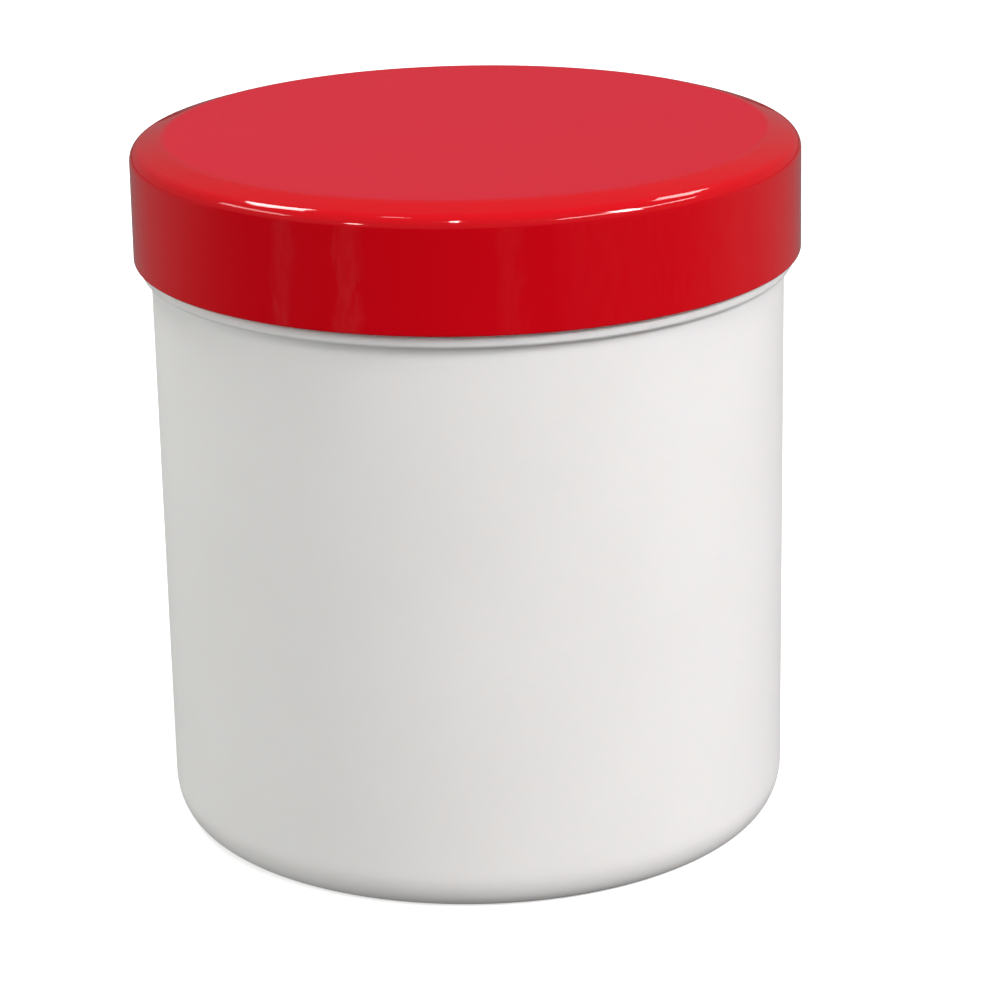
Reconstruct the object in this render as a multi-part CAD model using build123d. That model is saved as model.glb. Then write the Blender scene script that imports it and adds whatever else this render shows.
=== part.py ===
from build123d import *
import math
import os

# A round screw-top paint jar of moulded plastic: the jar, its lid, and a sealing disc in the lid.
# Millimetres and degrees. The origin is the centre of the foot, on the surface the jar stands on, +Z up.

# Jar
body_radius = 43.7          # outside of the straight wall
jar_height = 94.3           # foot to mouth rim
neck_step = 0.6             # the neck stands in from the wall by this much
neck_wall = 1.2             # neck wall at the mouth
cavity_draft = 0.3          # the inside is this much narrower in radius at the floor
floor_thickness = 1.8
foot_recess = 0.8           # height of the base above the foot ring
foot_ring_width = 2.0
heel_width = 3.2            # the rounded heel, measured across
heel_height = 5.1           # and up
inside_corner_radius = 3.0
bead_height = 1.5
bead_inset = 1.0            # the bead stands in from the lid's skirt by this much
bead_rounding = 0.5
rim_rounding = 0.35
gate_pip_radius = 1.5
gate_pip_height = 0.3

# Screw thread, one right-hand start
thread_height = 1.0
thread_root_width = 2.6
thread_crest_width = 1.2
thread_lead = 6.0
thread_turns = 1.25
thread_clearance = 0.3      # between each crest and the wall it faces
flank_clearance = 0.15      # between the two load flanks
thread_lift = 0.8           # the lid's thread starts this far above the skirt's lower edge
thread_sink = 0.3           # how far a ridge is rooted in its wall
ramp_step = 0.15            # height left at the very end of a ridge

# Lid
lid_wall = 1.6
lid_top = 2.0
skirt_depth = 14.7          # inside, from the liner seat to the skirt's lower edge
skirt_draft = 0.1
panel_inset = 4.6           # the flat panel ends this far in from the skirt
rim_slope = 17.0
lid_edge_radius = 2.0
panel_edge_radius = 6.0
skirt_edge_rounding = 0.3
seat_corner_radius = 0.6

# Liner
liner_thickness = 1.2
liner_clearance = 0.8       # between the liner's edge and the lid's wall

# Fit
lid_gap = 0.3               # between the lid's lower edge and the bead

# What follows from the values above
neck_radius = body_radius - neck_step
mouth_radius = neck_radius - neck_wall
jar_thread_crest = neck_radius + thread_height
lid_bore_radius = jar_thread_crest + thread_clearance
lid_thread_crest = neck_radius + thread_clearance
lid_radius = lid_bore_radius + lid_wall
bead_radius = lid_radius - bead_inset
liner_radius = lid_bore_radius - liner_clearance

liner_seat_z = jar_height + liner_thickness
lid_panel_z = liner_seat_z + lid_top
skirt_edge_z = liner_seat_z - skirt_depth
bead_top_z = skirt_edge_z - lid_gap
cavity_floor_z = foot_recess + floor_thickness

flank_run = (thread_root_width - thread_crest_width) / 2 / thread_height
thread_offset = thread_root_width - flank_run * (thread_clearance + thread_height) + flank_clearance
lid_thread_z = skirt_edge_z + thread_lift + thread_root_width / 2
jar_thread_z = lid_thread_z + thread_offset


def turned(outline):
    """Turn an outline drawn as (radius, height) about the jar's axis."""
    return revolve(Plane.XZ * make_face(outline), Axis.Z)


def rounded(outline, corners):
    """Round the named corners, each given as (radius, height, rounding), and turn the outline."""
    face = make_face(outline)
    for across, up, rounding in corners:
        corner = face.vertices().sort_by_distance((across, up, 0))[0]
        face = fillet(corner, rounding)
    return revolve(Plane.XZ * face, Axis.Z)


def thread_ridge(root, crest, start_z):
    """One helical ridge. Its crest lies outside its root on the jar and inside it on the lid."""
    outward = 1 if crest > root else -1
    sunk = root - outward * thread_sink
    sunk_half_width = thread_root_width / 2 + flank_run * thread_sink
    section = make_face(Polyline(
        (sunk, -sunk_half_width),
        (crest, -thread_crest_width / 2),
        (crest, thread_crest_width / 2),
        (sunk, sunk_half_width),
        close=True,
    ))
    path = Helix(pitch=thread_lead, height=thread_lead * thread_turns, radius=root)
    ridge = sweep(Plane.XZ * section, path=path, is_frenet=True)
    for turns in (0, thread_turns):
        ridge = ridge - ramp_cutter(root, outward, turns)
    return Pos(0, 0, start_z) * ridge


def ramp_cutter(root, outward, turns):
    """Cut that runs an end of a ridge down into its wall: flat on the jar, round inside the lid."""
    height = thread_root_width + 2 * flank_run * thread_sink + 2 * thread_clearance
    touch = root + outward * ramp_step
    if outward > 0:
        cutter = Pos(touch + body_radius / 2, 0, 0) * Box(body_radius, body_radius, height)
    else:
        cutter = Pos(touch / 2, 0, 0) * Cylinder(touch / 2, height)
    return Pos(0, 0, thread_lead * turns) * Rot(0, 0, 360 * turns) * cutter


def make_jar_body():
    """Foot, heel, wall, bead and threaded neck, hollowed from the mouth and recessed under the base."""
    heel_start = body_radius - heel_width
    bead_bottom_z = bead_top_z - bead_height
    heel = EllipticalCenterArc(
        (heel_start, heel_height), heel_width, heel_height, start_angle=270, arc_size=90,
    )
    upper = Polyline(
        (body_radius, heel_height),
        (body_radius, bead_bottom_z),
        (bead_radius, bead_bottom_z),
        (bead_radius, bead_top_z),
        (neck_radius, bead_top_z),
        (neck_radius, jar_height),
        (0, jar_height),
        (0, 0),
        (heel_start, 0),
    )
    outside = rounded(heel + upper, [
        (body_radius, bead_bottom_z, bead_rounding),
        (bead_radius, bead_bottom_z, bead_rounding),
        (bead_radius, bead_top_z, bead_rounding),
        (neck_radius, bead_top_z, bead_rounding),
        (neck_radius, jar_height, rim_rounding),
    ])

    floor_radius = mouth_radius - cavity_draft
    cavity = rounded(
        Polyline(
            (0, cavity_floor_z),
            (floor_radius, cavity_floor_z),
            (mouth_radius, jar_height),
            (0, jar_height),
            close=True,
        ),
        [(floor_radius, cavity_floor_z, inside_corner_radius)],
    )
    recess_radius = heel_start - foot_ring_width
    recess = turned(Polyline(
        (0, 0),
        (recess_radius, 0),
        (recess_radius - foot_recess, foot_recess),
        (gate_pip_radius, foot_recess),
        (gate_pip_radius, foot_recess - gate_pip_height),
        (0, foot_recess - gate_pip_height),
        close=True,
    ))
    return outside + thread_ridge(neck_radius, jar_thread_crest, jar_thread_z) - cavity - recess


def make_screw_lid():
    """Flat panel, sloping rim and skirt, bored for the neck, with its thread inside."""
    top_radius = lid_radius - skirt_draft
    panel_radius = lid_radius - panel_inset
    corner_z = lid_panel_z - (top_radius - panel_radius) * math.tan(math.radians(rim_slope))
    shell = rounded(
        Polyline(
            (lid_bore_radius, skirt_edge_z),
            (lid_radius, skirt_edge_z),
            (top_radius, corner_z),
            (panel_radius, lid_panel_z),
            (0, lid_panel_z),
            (0, liner_seat_z),
            (lid_bore_radius, liner_seat_z),
            close=True,
        ),
        [
            (lid_radius, skirt_edge_z, skirt_edge_rounding),
            (lid_bore_radius, skirt_edge_z, skirt_edge_rounding),
            (top_radius, corner_z, lid_edge_radius),
            (panel_radius, lid_panel_z, panel_edge_radius),
            (lid_bore_radius, liner_seat_z, seat_corner_radius),
        ],
    )
    return shell + thread_ridge(lid_bore_radius, lid_thread_crest, lid_thread_z)


def make_lid_liner():
    """Plain disc between the lid and the mouth rim."""
    return Pos(0, 0, jar_height + liner_thickness / 2) * Cylinder(liner_radius, liner_thickness)


parts = {
    "jar_body": make_jar_body(),
    "screw_lid": make_screw_lid(),
    "lid_liner": make_lid_liner(),
}

os.makedirs("parts", exist_ok=True)
for name, part in parts.items():
    export_step(part, f"parts/{name}.step")
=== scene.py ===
import math

import bpy
import numpy as np
from mathutils import Matrix, Vector


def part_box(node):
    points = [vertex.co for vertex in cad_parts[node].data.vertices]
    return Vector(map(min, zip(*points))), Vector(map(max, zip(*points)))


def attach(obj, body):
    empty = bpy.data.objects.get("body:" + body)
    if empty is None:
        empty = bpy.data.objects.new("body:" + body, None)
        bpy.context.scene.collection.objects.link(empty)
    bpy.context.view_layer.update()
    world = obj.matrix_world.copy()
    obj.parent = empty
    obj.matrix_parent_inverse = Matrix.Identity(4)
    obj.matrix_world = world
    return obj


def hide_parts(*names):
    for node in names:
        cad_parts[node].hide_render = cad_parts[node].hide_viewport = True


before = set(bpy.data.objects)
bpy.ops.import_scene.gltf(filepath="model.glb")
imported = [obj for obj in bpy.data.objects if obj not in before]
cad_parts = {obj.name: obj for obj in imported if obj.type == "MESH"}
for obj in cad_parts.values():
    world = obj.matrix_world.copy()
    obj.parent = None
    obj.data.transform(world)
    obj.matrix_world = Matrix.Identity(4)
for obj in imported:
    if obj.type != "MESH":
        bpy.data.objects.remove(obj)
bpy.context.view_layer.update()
MM = 0.001


# ---------------------------------------------------------------------------------------------------
# The jar. One injection moulding in white polypropylene: foot ring and recessed base, rounded heel,
# straight wall, a bead that the lid stops just above, and a neck with one right-hand screw ridge.
# The core that shapes the inside pulls out upwards, so the inside is smooth and a little wider on top.

SEGMENTS = 288
ARC_STEP = math.radians(8)


def rounded(corners):
    """Points along straight runs between corners (radius, height, rounding), in millimetres.
    At a corner, the arc is tangent to both runs: it starts rounding / tan(half angle) before the corner,
    and its points turn in even steps about a centre on the bisector. No rounding keeps the corner."""
    corners = np.array(corners, float)
    points = [corners[0, :2]]
    for before, corner, after in zip(corners, corners[1:], corners[2:]):
        back = before[:2] - corner[:2]
        ahead = after[:2] - corner[:2]
        back /= np.hypot(*back)
        ahead /= np.hypot(*ahead)
        rounding = corner[2]
        if rounding == 0:
            points.append(corner[:2])
            continue
        half = math.acos(np.clip(back @ ahead, -1, 1)) / 2
        centre = corner[:2] + (back + ahead) / np.hypot(*(back + ahead)) * rounding / math.sin(half)
        start = corner[:2] + back * rounding / math.tan(half) - centre
        turn = math.pi - 2 * half
        side = np.sign(back[1] * ahead[0] - back[0] * ahead[1])
        angles = np.linspace(0, turn * side, max(3, math.ceil(turn / ARC_STEP)) + 1)
        arc = np.stack([
            start[0] * np.cos(angles) - start[1] * np.sin(angles),
            start[0] * np.sin(angles) + start[1] * np.cos(angles),
        ], axis=1)
        points.extend(centre + arc)
    points.append(corners[-1, :2])
    return np.array(points)


def divided(points, step, edge=0.25):
    """The same line with more points on each run longer than step: one close to each end, which keeps
    a flat face flat up to its rounded edge, and the rest evenly spaced between."""
    pieces = []
    for start, end in zip(points, points[1:]):
        length = np.hypot(*(end - start))
        along = np.array([0.0])
        if length > step:
            inner = np.linspace(edge, length - edge, max(2, math.ceil(length / step)))
            along = np.concatenate([along, inner / length])
        pieces.append(start + along[:, None] * (end - start))
    pieces.append(points[-1:])
    return np.concatenate(pieces)


def turned(name, outline, ridge=None):
    """Carries an outline of (radius, height) points once round the jar's axis. The point at row i and
    angle a is (r cos a, r sin a, height of row i), where r is the row's radius plus ridge(a, height)
    on a wall that has a screw ridge. The outline starts and ends on the axis, closed there by fans."""
    outline = np.asarray(outline) * MM
    radius = outline[1:-1, :1]
    height = outline[1:-1, 1:]
    angle = np.arange(SEGMENTS)[None] * 2 * math.pi / SEGMENTS
    if ridge is not None:
        radius = radius + ridge(angle, height / MM, radius / MM) * MM
    rings = np.stack([radius * np.cos(angle), radius * np.sin(angle), height + 0 * angle], axis=2)
    poles = np.array([[0, 0, outline[0, 1]], [0, 0, outline[-1, 1]]])
    vertices = np.concatenate([rings.reshape(-1, 3), poles])

    index = np.arange(rings.shape[0] * SEGMENTS).reshape(-1, SEGMENTS)
    ahead = np.roll(index, -1, axis=1)
    quads = np.stack([index[:-1], ahead[:-1], ahead[1:], index[1:]], axis=2).reshape(-1, 4)
    first, last = len(vertices) - 2, len(vertices) - 1
    start_fan = np.stack([np.full(SEGMENTS, first), ahead[0], index[0]], axis=1)
    end_fan = np.stack([index[-1], ahead[-1], np.full(SEGMENTS, last)], axis=1)

    mesh = bpy.data.meshes.new(name)
    mesh.from_pydata(vertices.tolist(), [], quads.tolist() + start_fan.tolist() + end_fan.tolist())
    mesh.shade_smooth()
    piece = bpy.data.objects.new(name, mesh)
    bpy.context.scene.collection.objects.link(piece)
    return piece


thread_height = 1.0
thread_root_width = 2.6
thread_crest_width = 1.2
thread_lead = 6.0
thread_turns = 1.25
thread_ease = 0.12
ramp_step = 0.15
flank_run = (thread_root_width - thread_crest_width) / 2 / thread_height


def screw_ridge(angle, height, wall, start_height):
    """How far the one screw ridge stands off a wall, in millimetres, at each angle and height.
    Across the ridge it is a trapezoid, the flank's rise held between zero and the full height with
    both bends eased. Along it, the middle climbs one lead a turn, and near both ends the full height
    falls to a small step as wall * (angle from the end) squared / 2."""
    ridge = np.zeros(np.broadcast_shapes(angle.shape, height.shape))
    for turn in range(math.ceil(thread_turns)):
        travel = angle / (2 * math.pi) + turn
        across = np.abs(height - start_height - thread_lead * travel)
        from_end = 2 * math.pi * np.minimum(travel, thread_turns - travel)
        full = np.clip(ramp_step + wall * from_end ** 2 / 2, 0, thread_height)
        past_end = ramp_step * np.clip(1 + from_end * SEGMENTS / (2 * math.pi), 0, 1)
        full = np.where(from_end < 0, past_end, full)
        rise = (thread_root_width / 2 - across) / flank_run
        ease = thread_ease * full / thread_height
        top = (rise + full - np.hypot(rise - full, ease)) / 2
        ridge = np.maximum(ridge, (top + np.hypot(top, ease)) / 2 * (full > 0))
    return ridge


jar_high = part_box("jar_body")[1]
lid_low, lid_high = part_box("screw_lid")
liner_low, liner_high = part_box("lid_liner")
bead_radius = jar_high.x / MM
jar_height = jar_high.z / MM
skirt_edge = lid_low.z / MM
body_radius = bead_radius - 1.3
neck_radius = body_radius - 0.6
mouth_radius = neck_radius - 1.2
floor_radius = mouth_radius - 0.3
cavity_floor = 2.6
bead_top = skirt_edge - 0.3
bead_bottom = bead_top - 1.5
heel_width = 3.2
heel_height = 5.1
base_recess = 0.8
gate_pip = 0.3
jar_thread_start = skirt_edge + 3.94
wall_scatter = 2.0


def jar_outline():
    """Base, heel, wall, bead, neck, mouth and inside, from the middle of the base to the middle of the
    cavity's floor. The heel is a quarter of an ellipse."""
    heel_start = body_radius - heel_width
    base = rounded([
        (0, base_recess - gate_pip, 0),
        (1.5, base_recess - gate_pip, 0.12),
        (1.5, base_recess, 0.12),
        (heel_start - 2.8, base_recess, 0.5),
        (heel_start - 2.0, 0, 0.3),
        (heel_start, 0, 0),
    ])
    bend = np.radians(np.linspace(0, 90, 20))[1:-1]
    heel = np.stack([heel_start + heel_width * np.sin(bend), heel_height * (1 - np.cos(bend))], axis=1)
    wall = rounded([
        (body_radius, heel_height, 0),
        (body_radius, bead_bottom, 0.5),
        (bead_radius, bead_bottom, 0.5),
        (bead_radius, bead_top, 0.5),
        (neck_radius, bead_top, 0.5),
        (neck_radius, bead_top + 1.0, 0),
    ])
    neck = np.linspace((neck_radius, bead_top + 1.1), (neck_radius, jar_height - 0.6), 112)
    inside = rounded([
        (neck_radius, jar_height - 0.5, 0),
        (neck_radius, jar_height, 0.35),
        (mouth_radius, jar_height, 0.3),
        (floor_radius, cavity_floor, 3.0),
        (0, cavity_floor, 0),
    ])
    return divided(np.concatenate([base, heel, wall, neck, inside]), 3.0)


def jar_ridge(angle, height, radius):
    on_neck = np.isclose(radius, neck_radius, atol=0.001) & (height > bead_top)
    return screw_ridge(angle, height, neck_radius, jar_thread_start) * on_neck


class Wire:
    """A socket's value on its way to another node. Arithmetic on wires adds Math nodes."""

    def __init__(self, finish, socket):
        self.finish = finish
        self.socket = socket

    def maths(self, operation, *values):
        return self.finish.add("Math", {"operation": operation}, dict(enumerate(values)))

    def __add__(self, other):
        return self.maths("ADD", self, other)

    def __mul__(self, other):
        return self.maths("MULTIPLY", self, other)

    def __sub__(self, other):
        return self.maths("SUBTRACT", self, other)

    def __rsub__(self, other):
        return self.maths("SUBTRACT", other, self)

    __radd__ = __add__
    __rmul__ = __mul__

    def rise(self, low, high):
        """0 below low, 1 above high, eased between."""
        values = {"Value": self, "From Min": low, "From Max": high}
        return self.finish.add("MapRange", {"interpolation_type": "SMOOTHSTEP"}, values)


class Finish:
    """One procedural material: a Principled surface and the nodes that feed it."""

    def __init__(self, name, **constants):
        self.material = bpy.data.materials.new(name)
        self.material.use_nodes = True
        self.tree = self.material.node_tree
        self.shader = self.tree.nodes["Principled BSDF"]
        for socket, value in constants.items():
            self.shader.inputs[socket.replace("_", " ")].default_value = value

    def add(self, kind, settings=None, values=None, output=0):
        """A node of that kind, its settings made first, then its sockets filled or linked."""
        node = self.tree.nodes.new("ShaderNode" + kind)
        for setting, value in (settings or {}).items():
            setattr(node, setting, value)
        for socket, value in (values or {}).items():
            self.feed(node.inputs[socket], value)
        return Wire(self, node.outputs[output])

    def feed(self, socket, value):
        if isinstance(value, Wire):
            self.tree.links.new(value.socket, socket)
        else:
            socket.default_value = value

    def surface(self, **wires):
        for socket, wire in wires.items():
            self.feed(self.shader.inputs[socket.replace("_", " ")], wire)

    def place(self):
        return self.add("TexCoord", output="Object")

    def axes(self):
        """The distance from the jar's axis and the height, in metres."""
        place = self.place()
        flat = self.add("VectorMath", {"operation": "MULTIPLY"}, {0: place, 1: (1, 1, 0)})
        radius = self.add("VectorMath", {"operation": "LENGTH"}, {0: flat}, output="Value")
        height = self.add("SeparateXYZ", values={0: place}, output="Z")
        return radius, height

    def noise(self, size, stretch=(1, 1, 1), detail=2.0, roughness=0.5):
        """Noise from 0 to 1 whose lumps are about size metres across, times stretch along each axis."""
        scale = tuple(1 / (size * s) for s in stretch)
        at = self.add("VectorMath", {"operation": "MULTIPLY"}, {0: self.place(), 1: scale})
        values = {"Vector": at, "Scale": 1.0, "Detail": detail, "Roughness": roughness}
        return self.add("TexNoise", values=values)

    def mixed(self, share, first, second):
        """A colour that goes from the first to the second as share goes from 0 to 1."""
        ends = [end if isinstance(end, Wire) else (*end, 1) for end in (first, second)]
        return self.add("Mix", {"data_type": "RGBA"}, {0: share, 6: ends[0], 7: ends[1]}, output=2)

    def bump(self, height, distance):
        return self.add("Bump", values={"Height": height, "Distance": distance})


def white_moulding():
    """Satin white polypropylene: a fine tool grain, faint draw marks up the wall, slight shade changes.
    Light spreads a couple of millimetres inside the thin wall."""
    finish = Finish(
        "jar_white_polypropylene", IOR=1.49,
        Subsurface_Weight=0.8, Subsurface_Radius=(1.0, 0.9, 0.85), Subsurface_Scale=wall_scatter * MM,
    )
    clouds = finish.noise(0.022, detail=3.0)
    draw_marks = finish.noise(0.0007, stretch=(1, 1, 60), detail=2.0)
    grain = finish.noise(0.00022, detail=3.0, roughness=0.6)
    finish.surface(
        Base_Color=finish.mixed(clouds, (0.805, 0.795, 0.785), (0.845, 0.837, 0.828)),
        Roughness=0.40 + 0.08 * clouds + 0.04 * draw_marks,
        Normal=finish.bump(0.6 * grain + 0.4 * draw_marks, 0.004 * MM),
    )
    return finish.material


jar = turned("jar_moulding", jar_outline(), jar_ridge)
jar.data.materials.append(white_moulding())
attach(jar, "jar")
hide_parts("jar_body")


# ---------------------------------------------------------------------------------------------------
# The screw lid. One injection moulding in red polypropylene. The mould is spark-grained on the flat
# panel and polished on the sloping rim and the skirt, so one piece has a matte and a glossy finish.

lid_radius = lid_high.x / MM
panel_height = lid_high.z / MM
lid_bore = neck_radius + thread_height + 0.3
liner_seat = liner_high.z / MM
panel_radius = lid_radius - 4.6
skirt_draft = 0.1
panel_fade = 0.9
rim_slope = math.radians(17)
lid_thread_start = skirt_edge + 2.1


def lid_outline():
    """Underside, bore, lower edge, skirt, rim and panel, from the underside's middle to the panel's."""
    top_radius = lid_radius - skirt_draft
    corner = panel_height - (top_radius - panel_radius) * math.tan(rim_slope)
    inside = rounded([
        (0, liner_seat, 0),
        (lid_bore, liner_seat, 0.6),
        (lid_bore, liner_seat - 1.2, 0),
    ])
    bore = np.linspace((lid_bore, liner_seat - 1.3), (lid_bore, skirt_edge + 0.5), 112)
    outside = rounded([
        (lid_bore, skirt_edge + 0.4, 0),
        (lid_bore, skirt_edge, 0.3),
        (lid_radius, skirt_edge, 0.3),
        (top_radius, corner, 2.0),
        (panel_radius, panel_height, 6.0),
        (0, panel_height, 0),
    ])
    return divided(np.concatenate([inside, bore, outside]), 2.5)


def lid_ridge(angle, height, radius):
    on_bore = np.isclose(radius, lid_bore, atol=0.001)
    return -screw_ridge(angle, height, lid_bore, lid_thread_start) * on_bore


def red_moulding():
    """Red polypropylene: polished rim and skirt with a faint moulded waviness, spark grain on the panel."""
    finish = Finish("lid_red_polypropylene", IOR=1.49)
    radius, height = finish.axes()
    on_top = height.rise((panel_height - 1.3) * MM, (panel_height - 0.7) * MM)
    past_edge = radius.rise((panel_radius - panel_fade) * MM, (panel_radius + panel_fade) * MM)
    panel = (1 - past_edge) * on_top
    clouds = finish.noise(0.018, detail=3.0)
    grain = finish.noise(0.00018, detail=2.0, roughness=0.6)
    waves = finish.noise(0.006, stretch=(1, 1, 2.2), detail=2.0)
    scuffs = finish.noise(0.0011, stretch=(1, 1, 0.35), detail=4.0, roughness=0.7)
    polished = finish.mixed(clouds, (0.53, 0.0010, 0.0055), (0.55, 0.0014, 0.0070))
    finish.surface(
        Base_Color=finish.mixed(panel, polished, (0.542, 0.0020, 0.0180)),
        Roughness=0.045 + 0.02 * scuffs + panel * (0.38 + 0.06 * clouds),
        Normal=finish.bump(panel * grain * 0.3 + (1 - panel) * waves, 0.06 * MM),
    )
    return finish.material


lid = turned("lid_moulding", lid_outline(), lid_ridge)
lid.data.materials.append(red_moulding())
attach(lid, "lid")
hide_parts("screw_lid")


# ---------------------------------------------------------------------------------------------------
# The lid liner. A disc punched from foamed polyethylene sheet with a film on both faces. It lies loose
# above the lid's ridge, and the mouth rim presses a shallow ring into its lower face.

liner_radius = liner_high.x / MM
liner_bottom = liner_low.z / MM
print_depth = 0.06


def liner_outline():
    """Lower face with the rim's shallow print, punched edge, and upper face."""
    print_inside = mouth_radius - 0.1
    print_outside = neck_radius - 0.2
    return divided(rounded([
        (0, liner_bottom, 0),
        (print_inside, liner_bottom, 0.15),
        (print_inside + 0.15, liner_bottom + print_depth, 0.15),
        (print_outside - 0.15, liner_bottom + print_depth, 0.15),
        (print_outside, liner_bottom, 0.15),
        (liner_radius, liner_bottom, 0.08),
        (liner_radius, liner_seat, 0.08),
        (0, liner_seat, 0),
    ]), 2.5)


def foam_sheet():
    """Off-white polyethylene foam: closed cells that show through the film, a little uneven in colour."""
    finish = Finish("liner_polyethylene_foam", IOR=1.50)
    clouds = finish.noise(0.009, detail=3.0)
    cells = finish.add("TexVoronoi", {"feature": "SMOOTH_F1"}, {"Vector": finish.place(), "Scale": 1800.0})
    finish.surface(
        Base_Color=finish.mixed(clouds, (0.78, 0.77, 0.72), (0.84, 0.83, 0.79)),
        Roughness=0.55 + 0.15 * cells,
        Normal=finish.bump(cells, 0.05 * MM),
    )
    return finish.material


liner = turned("liner_disc", liner_outline())
liner.data.materials.append(foam_sheet())
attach(liner, "liner")
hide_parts("lid_liner")


# ---------------------------------------------------------------------------------------------------
# The pale floor that the jar stands on: one large sheet, a hair below the foot, that turns up into a
# white bowl far out and that only the camera sees. The lid's polish mirrors a flat card in its place,
# painted with reflections: black in front as painted shade, paler round the sides as painted light.

floor_reach = 6.0
floor_drop = 0.02
floor_rings = 24
floor_sides = 96
bowl_start = 2.6
bowl_height = 4.0
floor_glow = (0.5, 0.5, 0.5)
bowl_glow = (1.0, 1.0, 1.0)
bar_wander = 0.4
# Painted reflections in the lid's polish: each bar's bearing and half width in degrees, and how pale it is.
painted_reflection_bars = [(-61, 2.5, 0.9), (-38, 4.0, 0.9), (13, 4.0, 0.45), (66, 40, 0.3)]


def floor_sheet(name, climb=0.0):
    """Rings of points at radii that grow as the square of the ring number, round the jar's axis. Past
    bowl_start a ring stands climb times the square of its share of the way from there to the rim."""
    radius = (np.linspace(0.05, 1, floor_rings) ** 2 * floor_reach)[:, None]
    angle = np.arange(floor_sides)[None] * 2 * math.pi / floor_sides
    way_out = np.clip((radius - bowl_start) / (floor_reach - bowl_start), 0, 1)
    height = climb * way_out ** 2 - floor_drop * MM + 0 * angle
    points = np.stack([radius * np.cos(angle), radius * np.sin(angle), height], axis=2)
    index = np.arange(floor_rings * floor_sides).reshape(floor_rings, floor_sides)
    ahead = np.roll(index, -1, axis=1)
    faces = np.stack([index[:-1], index[1:], ahead[1:], ahead[:-1]], axis=2).reshape(-1, 4).tolist()
    faces.append(index[0].tolist())
    mesh = bpy.data.meshes.new(name)
    mesh.from_pydata(points.reshape(-1, 3).tolist(), [], faces)
    sheet = bpy.data.objects.new(name, mesh)
    bpy.context.scene.collection.objects.link(sheet)
    return sheet


def floor_paint():
    """Matt white that glows a little near the jar, so that shadows stay faint, and fully in the bowl."""
    finish = Finish("floor_matt_white", Specular_IOR_Level=0.0, Emission_Strength=1.0)
    radius = finish.axes()[0]
    clouds = finish.noise(0.3)
    finish.surface(
        Base_Color=finish.mixed(clouds, (0.86, 0.86, 0.86), (0.88, 0.88, 0.88)),
        Roughness=0.9 + 0.05 * clouds,
        Emission_Color=finish.mixed(radius.rise(0.3, 1.2), floor_glow, bowl_glow),
    )
    return finish.material


def painted_reflection_paint():
    """Painted reflections for the lid's polish, in matt grey: near black in front of the jar as painted
    shade, and paler beside and behind it as painted light. Three narrow pale bars and a wide faint one run
    outwards as painted reflections of bright things, with edges that wander as a mirrored edge does in
    moulded plastic.
    Each bar is its bearing and half width in degrees and how pale it is."""
    finish = Finish("painted_reflection_card_paint", Specular_IOR_Level=0.0)
    across = finish.add("SeparateXYZ", values={0: finish.place()}, output="X")
    depth = finish.add("SeparateXYZ", values={0: finish.place()}, output="Y")
    bearing = across.maths("ARCTAN2", across, depth * -1) + bar_wander * finish.noise(0.016)
    broken = finish.noise(0.013).rise(0.44, 0.56)
    share = depth.rise(-0.16, 0.22)
    for middle, half_width, shade in painted_reflection_bars:
        away = bearing - (math.radians(middle) + bar_wander / 2)
        off = away.maths("ABSOLUTE", away)
        bar = 1 - off.rise(math.radians(half_width * 0.8), math.radians(half_width))
        share = share + bar * (broken + 0.25) * shade
    finish.surface(
        Base_Color=finish.mixed(share, (0.01, 0.01, 0.01), (0.16, 0.16, 0.16)),
        Roughness=0.9 + 0.05 * broken,
    )
    return finish.material


floor = floor_sheet("floor", climb=bowl_height)
floor.data.materials.append(floor_paint())
floor.visible_glossy = False
floor.visible_diffuse = False
floor.visible_shadow = False

# A card that only the lid's polish sees: its paint is a painted reflection of the surroundings.
card = floor_sheet("painted_reflection_card")
card.data.materials.append(painted_reflection_paint())
card.visible_camera = False
card.visible_diffuse = False
card.visible_shadow = False


# ---------------------------------------------------------------------------------------------------
# Soft studio light: a key, a strip and a fill at the right, weaker ones at the left and back, and an
# even dim glow from all sides. The strips and small boxes draw the bright lines on the lid's rounded edge.

light_distance = 2.0
light_target = (0, 0, 0.07)
even_glow = 0.2


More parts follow.
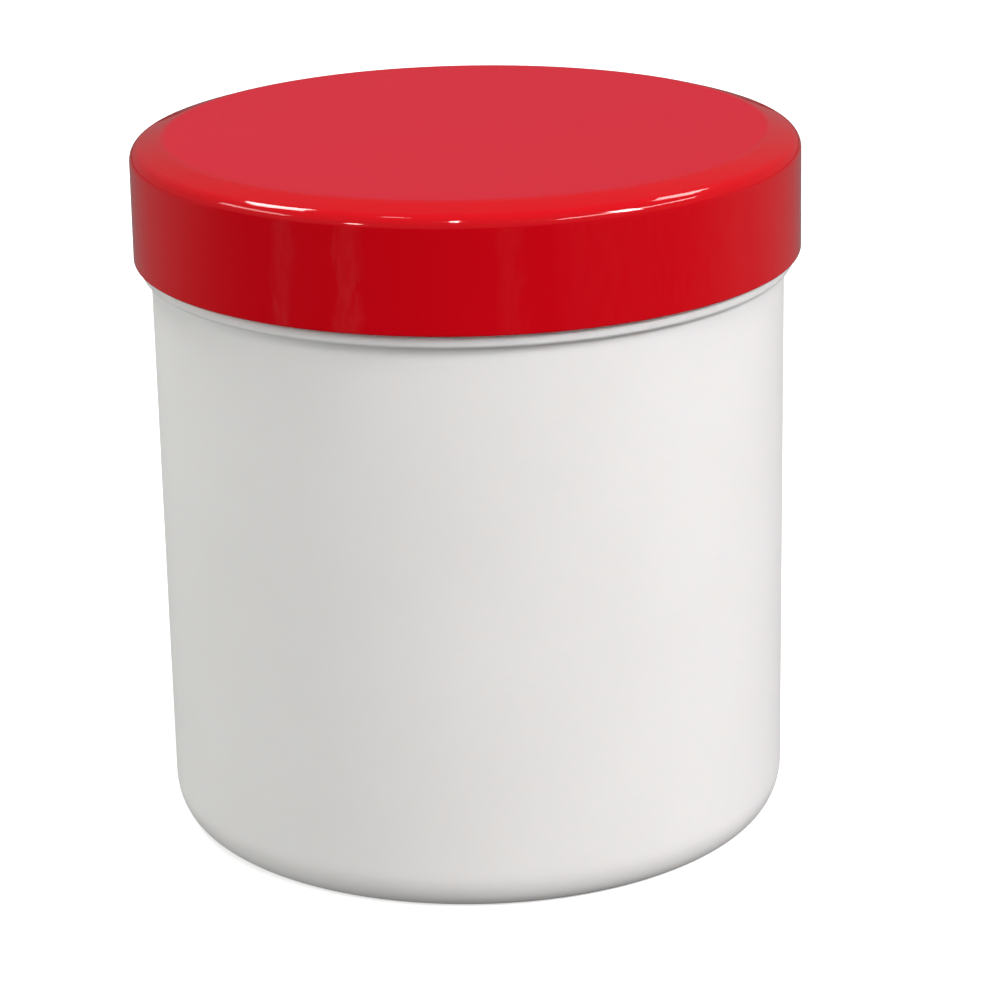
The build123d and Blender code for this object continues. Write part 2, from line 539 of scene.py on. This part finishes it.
def softbox(name, bearing, elevation, size, power, colour=(1, 1, 1), mirrored=True):
    """A rectangular area light aimed at the jar. Bearing runs in degrees from the front to the right,
    elevation in degrees up from level, size is (width, height) in metres and power is in watts.
    A light that is not mirrored leaves no bright patch in polished plastic."""
    bearing = math.radians(bearing)
    elevation = math.radians(elevation)
    towards = Vector((
        math.sin(bearing) * math.cos(elevation),
        -math.cos(bearing) * math.cos(elevation),
        math.sin(elevation),
    ))
    light = bpy.data.lights.new(name, "AREA")
    light.shape = "RECTANGLE"
    light.size, light.size_y = size
    light.energy = power
    light.color = colour
    lamp = bpy.data.objects.new(name, light)
    lamp.location = Vector(light_target) + towards * light_distance
    lamp.rotation_euler = towards.to_track_quat("Z", "Y").to_euler()
    lamp.visible_glossy = mirrored
    bpy.context.scene.collection.objects.link(lamp)


softbox("right_key", 58.5, 33, (0.26, 0.5), 14, (1.0, 0.980, 0.985))
softbox("right_strip", 60, 32, (1.85, 0.13), 10, (1.0, 0.980, 0.985))
softbox("right_fill", 36, 33, (1.1, 0.8), 18, (1.0, 0.980, 0.985), mirrored=False)
softbox("right_back", 114, 50, (0.55, 0.4), 7)
softbox("left_back", -122, 56, (0.7, 0.4), 14, (0.985, 1.0, 0.98))
softbox("left_strip", -81, 30, (0.95, 0.25), 4.5, (0.985, 1.0, 0.97))
softbox("left_fill", -84, 0, (2.6, 1.6), 19, (0.99, 1.0, 0.97), mirrored=False)
softbox("left_front", -38, 17, (0.2, 0.16), 2.6, (1.0, 0.99, 0.97))
softbox("front_spot", -6, 48, (0.10, 0.09), 4.5, (1.0, 0.97, 0.95))
softbox("top_spot", -60, 74, (0.2, 0.12), 0.6)

world = bpy.data.worlds.new("studio")
world.use_nodes = True
background = world.node_tree.nodes["Background"]
background.inputs["Color"].default_value = (1, 1, 1, 1)
background.inputs["Strength"].default_value = even_glow
bpy.context.scene.world = world


# ---------------------------------------------------------------------------------------------------
# The camera looks down on the jar from the front with a long lens, turned a degree about its own axis.

camera_back = 465.3
camera_above_skirt = 121.3
camera_pitch = -0.3286
camera_yaw = 0.0082
camera_roll = 0.0194
camera_lens = 124.8

camera_data = bpy.data.cameras.new("camera")
camera_data.sensor_width = 36
camera_data.lens = camera_lens
camera = bpy.data.objects.new("camera", camera_data)
camera.matrix_world = (
    Matrix.Translation((0, -camera_back * MM, (skirt_edge + camera_above_skirt) * MM))
    @ Matrix.Rotation(-camera_yaw, 4, "Z")
    @ Matrix.Rotation(math.pi / 2 + camera_pitch, 4, "X")
    @ Matrix.Rotation(-camera_roll, 4, "Z")
)
bpy.context.scene.collection.objects.link(camera)
bpy.context.scene.camera = camera
bpy.context.scene.view_settings.view_transform = "Standard"
